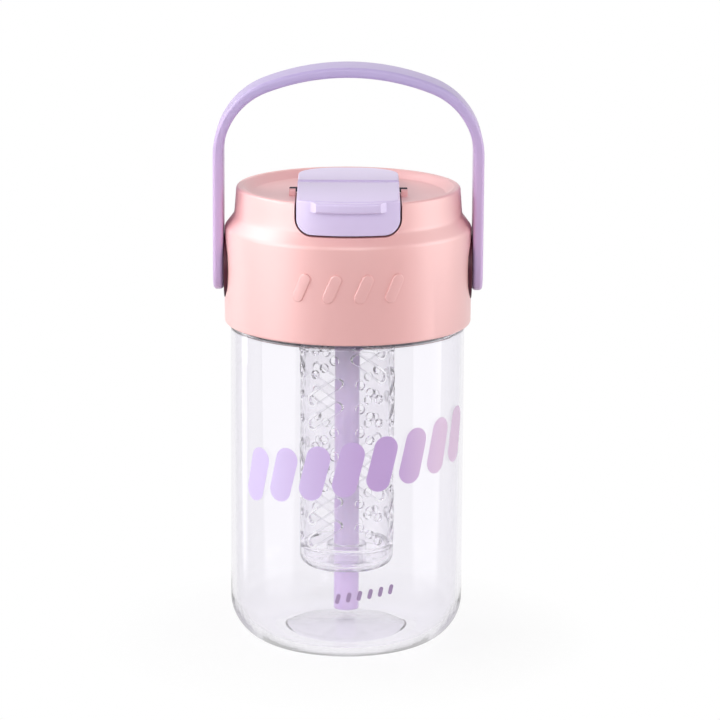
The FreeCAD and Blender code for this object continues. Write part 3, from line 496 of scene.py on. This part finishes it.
def finished_mesh(name, bm, sharp_angle):
    """Writes a bmesh to a mesh with smooth faces and sharp edges past an angle."""
    for face in bm.faces:
        face.smooth = True
    for edge in bm.edges:
        edge.smooth = edge.calc_face_angle(0.0) < sharp_angle
    mesh = bpy.data.meshes.new(name)
    bm.to_mesh(mesh)
    bm.free()
    return mesh


def moulding(node, name, body, material):
    """A copy of a solid's skin with its triangles joined, so that round faces shade smoothly."""
    bm = bmesh.new()
    bm.from_mesh(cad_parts[node].data)
    bmesh.ops.remove_doubles(bm, verts=bm.verts, dist=MERGE)
    mesh = finished_mesh(name, bm, MOULDING_SHARP)
    for layer in ("custom_normal", "sharp_face"):
        if layer in mesh.attributes:
            mesh.attributes.remove(mesh.attributes[layer])
    piece = new_piece(name, mesh, body, material)
    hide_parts(node)
    return piece


def rounded_profile(bm, corners):
    """An open or closed chain of vertices in the XZ plane, its corners rounded where a radius is given."""
    verts = [bm.verts.new((corner[0], 0.0, corner[1])) for corner in corners]
    for first, second in zip(verts, verts[1:]):
        bm.edges.new((first, second))
    rounded = [(v, c[2]) for v, c in zip(verts, corners) if len(c) > 2]
    for vert, radius in rounded:
        ways = [(e.other_vert(vert).co - vert.co).normalized() for e in vert.link_edges]
        reach = radius / math.tan(ways[0].angle(ways[1]) / 2)
        steps = max(4, int(radius / MM * 2.2))
        bmesh.ops.bevel(bm, geom=[vert], offset=reach, offset_type="OFFSET", affect="VERTICES",
                        segments=steps, profile=0.5, material=-1)


def lathe(corners, steps):
    """A solid of revolution about Z from profile corners that start and end on the axis or close up."""
    bm = bmesh.new()
    rounded_profile(bm, corners)
    bmesh.ops.spin(bm, geom=bm.verts[:] + bm.edges[:], cent=(0, 0, 0), axis=(0, 0, 1),
                   angle=2 * math.pi, steps=steps, use_merge=True)
    bmesh.ops.remove_doubles(bm, verts=bm.verts, dist=MERGE)
    bmesh.ops.recalc_face_normals(bm, faces=bm.faces)
    return bm


def screw_ridge(radius, height, width, start_z, pitch, turns):
    """A thread ridge that fades out at both ends; a height below zero makes it stand inward."""
    bm = bmesh.new()
    sink = math.copysign(0.2 * MM, height)
    fade = 0.08
    foot = radius - sink
    crest = radius + height
    section = [(foot, -width / 2), (crest, -width / 5), (crest, width / 5), (foot, width / 2)]
    verts = [bm.verts.new((r, 0.0, start_z + z)) for r, z in section]
    loop = [bm.edges.new((verts[i], verts[(i + 1) % len(verts)])) for i in range(len(verts))]
    steps = int(120 * turns)
    rise = pitch * turns
    bmesh.ops.spin(bm, geom=verts + loop, cent=(0, 0, 0), axis=(0, 0, 1), dvec=(0, 0, rise / steps),
                   angle=2 * math.pi * turns, steps=steps, use_merge=False)
    for vert in bm.verts:
        reach = math.hypot(vert.co.x, vert.co.y)
        along = (vert.co.z - start_z) / rise
        share = max(0.0, min(1.0, along / fade, (1.0 - along) / fade))
        scale = (foot + (reach - foot) * share) / reach
        vert.co.x *= scale
        vert.co.y *= scale
    bmesh.ops.holes_fill(bm, edges=[e for e in bm.edges if e.is_boundary], sides=len(section))
    bmesh.ops.recalc_face_normals(bm, faces=bm.faces)
    return bm


def slanted_pill(bm, length, width, lean):
    """Adds a flat face with round ends, its length leaning from Y by an angle."""
    made = bmesh.ops.create_circle(bm, cap_ends=True, segments=48, radius=width / 2)["verts"]
    for vert in made:
        vert.co.y += math.copysign((length - width) / 2, vert.co.y)
    bmesh.ops.rotate(bm, verts=made, cent=(0, 0, 0), matrix=Matrix.Rotation(-lean, 3, "Z"))
    return [face for face in bm.faces if made[0] in face.verts]


def wrap(bm, faces, azimuth, height, radius):
    """Cuts flat faces into columns and bends them round a cylinder, so that they look outward."""
    columns = 20
    reach = max(vert.co.x for face in faces for vert in face.verts)
    for column in range(1, columns):
        across = reach * (2 * column / columns - 1)
        edges = list({edge for face in faces for edge in face.edges})
        verts = list({vert for face in faces for vert in face.verts})
        cut = bmesh.ops.bisect_plane(bm, geom=faces + edges + verts, plane_co=(across, 0, 0),
                                     plane_no=(1, 0, 0))
        faces = [item for item in cut["geom"] if isinstance(item, bmesh.types.BMFace)]
    for vert in {vert for face in faces for vert in face.verts}:
        turn = azimuth + vert.co.x / radius
        vert.co = (radius * math.sin(turn), -radius * math.cos(turn), height + vert.co.y)
    bmesh.ops.recalc_face_normals(bm, faces=faces)
    for face in faces:
        middle = face.calc_center_median()
        if face.normal.dot(Vector((middle.x, middle.y, 0.0))) < 0.0:
            face.normal_flip()
    return faces


def printed_bar(bm, length, width, slant, azimuth, height, radius):
    """Adds a thin film of ink with round ends, slanted and wrapped on a cylinder."""
    film = 0.05 * MM
    faces = wrap(bm, slanted_pill(bm, length, width, slant), azimuth, height, radius)
    bmesh.ops.solidify(bm, geom=faces, thickness=-film)


def slot_rim(bm, rim, proud, slant, azimuth, height):
    """Adds the low raised rim that is moulded round a slanted slot of the infuser."""
    sink = 0.05 * MM
    plug = slanted_pill(bm, SLOT_LENGTH + 2 * rim, SLOT_WIDTH + 2 * rim, math.pi / 2 - slant)
    ring = bmesh.ops.inset_region(bm, faces=plug, thickness=rim, use_boundary=True, use_even_offset=True)
    bmesh.ops.delete(bm, geom=plug, context="FACES")
    faces = wrap(bm, ring["faces"], azimuth, height, INFUSER_RADIUS - sink)
    bmesh.ops.solidify(bm, geom=faces, thickness=-(proud + sink))


def body_radius():
    """Radius of the bottle's straight wall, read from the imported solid."""
    low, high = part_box("bottle")
    return (high[0] - low[0]) / 2


MATERIALS = {}


def finish_of(key):
    """The material of a finish, made once from the scene's colours."""
    looks = bpy.context.scene.bottle_looks
    # The handle's bow gets a painted shade above BOW_START
    bow = (looks.bow_lilac, BOW_START, BOW_RISE)
    punt = (PUNT_RADIUS, PUNT_RIM, PUNT_CROWN)
    makers = {
        # The clear finishes get a painted edge shade; the infuser's is lighter
        "clear_body": lambda: clear_plastic(key, looks.clear_tint, looks.clear_edge, punt=punt),
        "clear_infuser": lambda: clear_plastic(
            key, looks.infuser_tint, shade(looks.clear_edge, 1.15), roughness=0.02, haze=0.05),
        "clear_rim": lambda: clear_plastic(key, shade(looks.infuser_tint, 0.93), looks.clear_edge),
        "lid_pink": lambda: satin_plastic(key, looks.lid_pink, 0.44),
        "flap_lilac": lambda: satin_plastic(key, looks.flap_lilac),
        "handle_lilac": lambda: satin_plastic(key, looks.handle_lilac, 0.42, 0.02, sheen=0.3, bow=bow),
        "straw_lilac": lambda: satin_plastic(key, looks.straw_lilac, 0.34, 0.02, sheen=0.0, depth=0.4),
        "liner_white": lambda: satin_plastic(key, looks.liner_white, 0.42),
        "silicone": lambda: soft_silicone(key, (0.86, 0.86, 0.87)),
        # Its edge colour is a painted shade for where it is seen edge-on
        "clear_silicone": lambda: clear_plastic(key, (0.96, 0.94, 0.98), (0.90, 0.86, 0.94), 0.10, 0.02),
        "steel": lambda: drawn_steel(key),
        # Near-black rings as painted shade in the pivot gaps
        "pad_maroon": lambda: soft_silicone(key, looks.pad_maroon, 0.0),
        "print": lambda: print_ink(key, looks.print_lilac, looks.print_mid, looks.print_pink, PRINT_REACH),
        "marks": lambda: print_ink(key, looks.mark_violet, looks.mark_violet, looks.mark_violet, PRINT_REACH),
    }
    if key not in MATERIALS:
        MATERIALS[key] = makers[key]()
    return MATERIALS[key]


class BOTTLE_OT_body(bpy.types.Operator):
    """Makes the clear bottle and the thread on its neck"""
    bl_idname = "bottle.body"
    bl_label = "Bottle"

    def execute(self, context):
        moulding("bottle", "bottle_body", "bottle", finish_of("clear_body"))
        looks = context.scene.bottle_looks
        thread = screw_ridge(NECK_RADIUS, looks.thread_height, looks.thread_width, looks.thread_start,
                             looks.thread_pitch, looks.thread_turns)
        mesh = finished_mesh("neck_thread", thread, THREAD_SHARP)
        new_piece("neck_thread", mesh, "bottle", finish_of("clear_body"))
        return {"FINISHED"}


class BOTTLE_OT_print(bpy.types.Operator):
    """Makes the printed bars and the row of small marks on the wall"""
    bl_idname = "bottle.print"
    bl_label = "Print"

    def execute(self, context):
        looks = context.scene.bottle_looks
        self.row("printed_bars", "print", looks.bar_count, looks.bar_pitch, looks.bar_height,
                 looks.bar_length, looks.bar_width)
        self.row("printed_marks", "marks", looks.mark_count, looks.mark_pitch, looks.mark_height,
                 looks.mark_length, looks.mark_width)
        return {"FINISHED"}

    def row(self, name, finish, count, pitch, height, length, width):
        """A climbing row of slanted bars as one piece."""
        looks = bpy.context.scene.bottle_looks
        gap = 0.01 * MM
        radius = body_radius() + gap
        bm = bmesh.new()
        for i in range(count):
            turn = looks.bar_turn + (i - (count - 1) / 2) * pitch
            rise = height + turn * radius * math.tan(looks.bar_climb)
            printed_bar(bm, length, width, looks.bar_slant, turn, rise, radius)
        new_piece(name, finished_mesh(name, bm, FILM_SHARP), "bottle", finish_of(finish))


class BOTTLE_OT_lid(bpy.types.Operator):
    """Makes the lid shell, liner, seals and spout"""
    bl_idname = "bottle.lid"
    bl_label = "Lid"

    def execute(self, context):
        moulding("lid_shell", "lid_moulding", "lid", finish_of("lid_pink"))
        moulding("lid_liner", "liner_moulding", "lid", finish_of("liner_white"))
        self.liner_thread(context.scene.bottle_looks)
        moulding("spout_duct", "duct_moulding", "lid", finish_of("liner_white"))
        moulding("hinge_cover", "hinge_cover_moulding", "lid", finish_of("flap_lilac"))
        moulding("flap_hinge_pin", "hinge_pin_wire", "lid", finish_of("steel"))
        moulding("lid_gasket", "mouth_gasket", "mouth_seal", finish_of("silicone"))
        for node in ("mouthpiece", "spout_oring", "vent_valve", "infuser_seal"):
            moulding(node, node + "_moulding", "lid", finish_of("silicone"))
        return {"FINISHED"}

    def liner_thread(self, looks):
        """The thread inside the liner, half a pitch above the neck's and clear of its crest."""
        inward = -0.75 * looks.thread_height
        start = looks.thread_start + looks.thread_pitch / 2
        thread = screw_ridge(LINER_RADIUS, inward, looks.thread_width, start,
                             looks.thread_pitch, looks.thread_turns)
        mesh = finished_mesh("liner_thread", thread, THREAD_SHARP)
        new_piece("liner_thread", mesh, "lid", finish_of("liner_white"))


class BOTTLE_OT_flap(bpy.types.Operator):
    """Makes the flip flap and its seal"""
    bl_idname = "bottle.flap"
    bl_label = "Flap"

    def execute(self, context):
        moulding("flap", "flap_moulding", "flap", finish_of("flap_lilac"))
        moulding("flap_seal", "flap_seal_pad", "flap", finish_of("silicone"))
        return {"FINISHED"}


class BOTTLE_OT_infuser(bpy.types.Operator):
    """Makes the infuser, its base and the straw"""
    bl_idname = "bottle.infuser"
    bl_label = "Infuser and straw"

    def execute(self, context):
        clear = finish_of("clear_infuser")
        moulding("infuser_tube", "infuser_tube_moulding", "infuser", clear)
        moulding("infuser_collar", "infuser_collar_moulding", "infuser", clear)
        moulding("infuser_base", "infuser_base_moulding", "infuser_base", clear)
        soft = finish_of("clear_silicone")
        moulding("straw_grommet", "straw_grommet_sleeve", "infuser_base", soft)
        moulding("straw", "straw_tube", "lid", finish_of("straw_lilac"))
        self.slot_rims()
        return {"FINISHED"}

    def slot_rims(self):
        """Rims round the slots, in the same bands as the tube's openings."""
        looks = bpy.context.scene.bottle_looks
        bm = bmesh.new()
        for arm in range(SLOT_ARMS):
            odd = arm % 2
            azimuth = SLOT_TURN + arm * 2 * math.pi / SLOT_ARMS
            slant = -SLOT_SLANT if odd else SLOT_SLANT
            for row in range(SLOT_ROWS):
                if (row - odd * SLOTS_PER_BAND) % SLOT_CYCLE < SLOTS_PER_BAND:
                    height = SLOT_FIRST + row * SLOT_PITCH
                    slot_rim(bm, looks.rim_width, looks.rim_proud, slant, azimuth, height)
        mesh = finished_mesh("slot_rims", bm, RIM_SHARP)
        new_piece("slot_rims", mesh, "infuser", finish_of("clear_rim"))


class BOTTLE_OT_handle(bpy.types.Operator):
    """Makes the carrying handle"""
    bl_idname = "bottle.handle"
    bl_label = "Handle"

    def execute(self, context):
        moulding("handle", "handle_band", "handle", finish_of("handle_lilac"))
        self.friction_pads()
        return {"FINISHED"}

    def friction_pads(self):
        """Dark rings in the lid's side recesses beside the arms, set there as painted shade for the gap
        between the arms and the lid.
        """
        section = [(PAD_INNER, PAD_NEAR), (PAD_OUTER, PAD_NEAR), (PAD_OUTER, PAD_FAR, PAD_ROUND),
                   (PAD_INNER, PAD_FAR, PAD_ROUND), (PAD_INNER, PAD_NEAR)]
        for side, name in ((1.0, "shade_gap_pad_right"), (-1.0, "shade_gap_pad_left")):
            bm = lathe(section, 64)
            turn = Matrix.Translation((0, 0, PIVOT_HEIGHT)) @ Matrix.Rotation(side * math.pi / 2, 4, "Y")
            bmesh.ops.transform(bm, matrix=turn, verts=bm.verts)
            new_piece(name, finished_mesh(name, bm, THREAD_SHARP), "lid", finish_of("pad_maroon"))


def studio_world():
    """White to the camera, dim in gloss so that the softboxes show, and pale grey at the sides of
    clear plastic."""
    paint = Paint(bpy.data.worlds.new("studio"))
    rays = paint.tree.nodes.new("ShaderNodeLightPath")
    seen = Wire(paint.tree, rays.outputs["Is Camera Ray"])
    through = Wire(paint.tree, rays.outputs["Is Transmission Ray"])
    mirrored = Wire(paint.tree, rays.outputs["Is Glossy Ray"])
    direction = paint.node("ShaderNodeTexCoord", output=0)
    side = abs(paint.node("ShaderNodeSeparateXYZ", Vector=direction))
    ahead = paint.node("ShaderNodeSeparateXYZ", output=1, Vector=direction)
    flags = ((side - 0.35) * 2.2).at_least(0.0).at_most(1.0)
    surround = paint.blend(flags, (1.0, 1.0, 1.0), (0.62, 0.60, 0.65))
    bent = paint.node("ShaderNodeBackground", Color=surround, Strength=1.0)
    plain = paint.node("ShaderNodeBackground", Color=(1.0, 1.0, 1.0), Strength=1.0)
    behind = ((ahead + 0.1) * 2.5).at_least(0.0).at_most(1.0)
    backdrop = paint.blend(behind, (0.22, 0.21, 0.22), (1.0, 1.0, 1.0))
    room = paint.node("ShaderNodeBackground", Color=backdrop, Strength=1.0)
    fill = paint.node("ShaderNodeBackground", Color=(1.0, 0.98, 0.98), Strength=0.34)
    dull = paint.node("ShaderNodeMixShader", **{"0": mirrored, "1": fill, "2": room})
    lit = paint.node("ShaderNodeMixShader", **{"0": through, "1": dull, "2": bent})
    shown = paint.node("ShaderNodeMixShader", **{"0": seen, "1": lit, "2": plain})
    return paint.surface(shown)


def edge_side(x, y, radius, facing):
    """Distance of a floor point to the right of the line that the bottle's wall mirrors at a facing angle."""
    bounce = 2.0 * facing
    return ((y + radius * math.cos(facing)) * math.sin(bounce)
            + (x - radius * math.sin(facing)) * math.cos(bounce))


def floor_material(radius, cards):
    """A white floor that keeps a soft shadow close to the bottle; in gloss it is dim at the front, with
    bright cards that show as upright strips on a wall of this radius, each given by the wall's first and
    last facing angles."""
    paint = Paint(bpy.data.materials.new("floor_white"))
    rays = paint.tree.nodes.new("ShaderNodeLightPath")
    seen = Wire(paint.tree, rays.outputs["Is Camera Ray"])
    through = Wire(paint.tree, rays.outputs["Is Transmission Ray"])
    mirrored = Wire(paint.tree, rays.outputs["Is Glossy Ray"])
    reach = paint.node("ShaderNodeVectorMath", {"operation": "LENGTH"}, output=1, **{"0": paint.place()})
    away = ((reach - SHADOW_NEAR) / SHADOW_FADE).at_least(0.0).at_most(1.0)
    x, y = (paint.node("ShaderNodeSeparateXYZ", output=i, Vector=paint.place()) for i in range(2))
    glow = FLOOR_GLOSS + ((y + 0.05) * 4.0).at_least(0.0).at_most(1.0 - FLOOR_GLOSS)
    clear = ((reach - CARD_NEAR) / CARD_FADE).at_least(0.0).at_most(1.0)
    for first, last in cards:
        inside = edge_side(x, y, radius, first).at_most(edge_side(x, y, radius, last) * -1.0)
        glow = glow + (inside * 60.0).at_least(0.0).at_most(1.0) * clear * CARD_GLOW
    paper = paint.node("ShaderNodeBsdfDiffuse", Color=(0.86, 0.86, 0.86))
    white = paint.node("ShaderNodeEmission", Color=(1.0, 1.0, 1.0), Strength=1.0)
    card = paint.node("ShaderNodeEmission", Color=(1.0, 1.0, 1.0), Strength=glow)
    veil = seen.at_least(through) * (0.80 + away * 0.20)
    plain = paint.node("ShaderNodeMixShader", **{"0": veil, "1": paper, "2": white})
    bounced = mirrored * (1.0 - through)
    return paint.surface(paint.node("ShaderNodeMixShader", **{"0": bounced, "1": plain, "2": card}))


def softbox(name, place, aim, size, power):
    """A rectangular area light aimed at a point."""
    lamp = bpy.data.lights.new(name, "AREA")
    lamp.shape = "RECTANGLE"
    lamp.size, lamp.size_y = size
    lamp.energy = power
    holder = bpy.data.objects.new(name, lamp)
    holder.location = place
    holder.rotation_euler = (Vector(aim) - Vector(place)).to_track_quat("-Z", "Y").to_euler()
    bpy.context.scene.collection.objects.link(holder)
    return holder


class BOTTLE_OT_stage(bpy.types.Operator):
    """Makes the floor, the lights and the camera"""
    bl_idname = "bottle.stage"
    bl_label = "Stage"

    def execute(self, context):
        scene = context.scene
        scene.world = studio_world()
        bm = bmesh.new()
        bmesh.ops.create_circle(bm, cap_ends=True, segments=96, radius=FLOOR_RADIUS)
        mesh = bpy.data.meshes.new("floor")
        bm.to_mesh(mesh)
        bm.free()
        floor = bpy.data.objects.new("floor", mesh)
        scene.collection.objects.link(floor)
        cards = [(math.radians(first), math.radians(last)) for first, last in STRIPS]
        mesh.materials.append(floor_material(body_radius(), cards))
        for name, place, size, power in SOFTBOXES:
            softbox(name, place, LAMP_AIM, size, power).visible_transmission = name in SPARKLING
        for name, place, size, power in SHEEN_BOXES:
            sheen = softbox(name, place, LAMP_AIM, size, power)
            sheen.visible_diffuse = False
            sheen.visible_transmission = False
        self.place_camera(scene)
        scene.view_settings.view_transform = "Standard"
        scene.cycles.max_bounces = BOUNCES
        scene.cycles.transmission_bounces = BOUNCES
        scene.cycles.glossy_bounces = BOUNCES
        scene.cycles.transparent_max_bounces = BOUNCES
        return {"FINISHED"}

    def place_camera(self, scene):
        stage = scene.stage_looks
        spot = Vector((0.0, -stage.camera_back, stage.camera_height))
        ahead = (Vector((stage.aim_side, 0.0, stage.aim_height)) - spot).normalized()
        right = ahead.cross(Vector((0, 0, 1))).normalized()
        up = right.cross(ahead)
        turn = stage.roll
        right, up = right * math.cos(turn) + up * math.sin(turn), up * math.cos(turn) - right * math.sin(turn)
        lens = bpy.data.cameras.new("camera")
        lens.sensor_width = SENSOR
        lens.lens = stage.focal_pixels / PHOTO_SIZE * SENSOR
        lens.clip_end = 20.0
        camera = bpy.data.objects.new("camera", lens)
        camera.matrix_world = Matrix((right, up, -ahead)).transposed().to_4x4()
        camera.location = spot
        scene.collection.objects.link(camera)
        scene.camera = camera


class BOTTLE_PT_panel(bpy.types.Panel):
    """Lists the pieces and their colours"""
    bl_label = "Infuser Bottle"
    bl_space_type = "VIEW_3D"
    bl_region_type = "UI"
    bl_category = "Infuser Bottle"

    def draw(self, context):
        for step in STEPS:
            self.layout.operator(step.bl_idname)
        for group in (context.scene.bottle_looks, context.scene.stage_looks):
            for name in group.__annotations__:
                self.layout.prop(group, name)


STEPS = (BOTTLE_OT_body, BOTTLE_OT_print, BOTTLE_OT_lid, BOTTLE_OT_flap, BOTTLE_OT_infuser,
         BOTTLE_OT_handle, BOTTLE_OT_stage)
CLASSES = (BottleLooks, StageLooks, *STEPS, BOTTLE_PT_panel)


def register():
    for item in CLASSES:
        bpy.utils.register_class(item)
    bpy.types.Scene.bottle_looks = bpy.props.PointerProperty(type=BottleLooks)
    bpy.types.Scene.stage_looks = bpy.props.PointerProperty(type=StageLooks)


def unregister():
    del bpy.types.Scene.stage_looks
    del bpy.types.Scene.bottle_looks
    for item in reversed(CLASSES):
        bpy.utils.unregister_class(item)


def main():
    register()
    for step in STEPS:
        group, name = step.bl_idname.split(".")
        getattr(getattr(bpy.ops, group), name)()
    bpy.context.view_layer.update()


if __name__ == "__main__":
    main()
